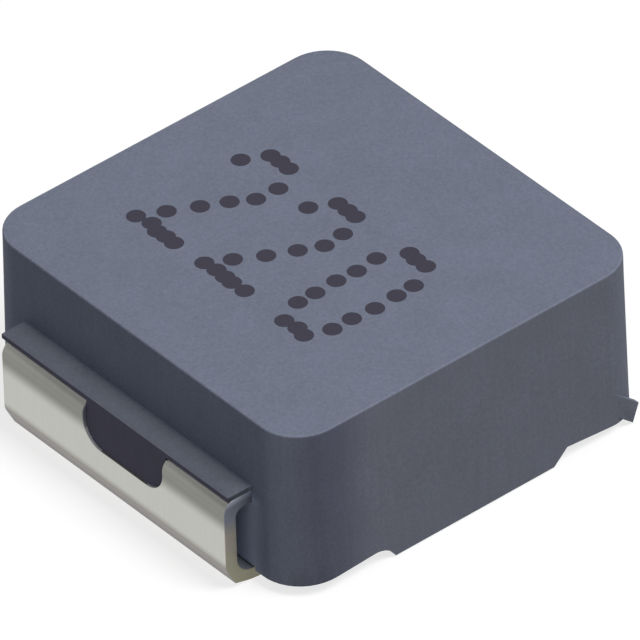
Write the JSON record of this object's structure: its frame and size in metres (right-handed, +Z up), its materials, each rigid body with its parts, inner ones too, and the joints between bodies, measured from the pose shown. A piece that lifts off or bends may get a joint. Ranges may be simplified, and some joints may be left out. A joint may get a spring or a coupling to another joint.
{
  "type": "shielded surface-mount inductor",
  "caption": "Flat square power inductor: a flat-wire coil pressed inside a magnetic composite block, with wide tinned strip terminals folded down to solder feet.",
  "frame": {"origin": "middle of the part on the plane that its solder feet stand on", "axes": "+X from one terminal to the other, the longest extent; +Z up, away from the board, the shortest extent; the strips and the coil's lead-outs lie along X"},
  "size_m": [0.0186, 0.0174, 0.0072],
  "materials": {
    "composite": "pressed magnetic powder composite, matte, fine grain",
    "copper_wire": "enamelled flat copper wire, satin",
    "tinned_strip": "matte tin plate on copper strip"
  },
  "bodies": {
    "root": {"moulded_body": "composite", "coil_winding": "copper_wire", "terminal_near": "tinned_strip", "terminal_far": "tinned_strip"}
  },
  "joints": []
}
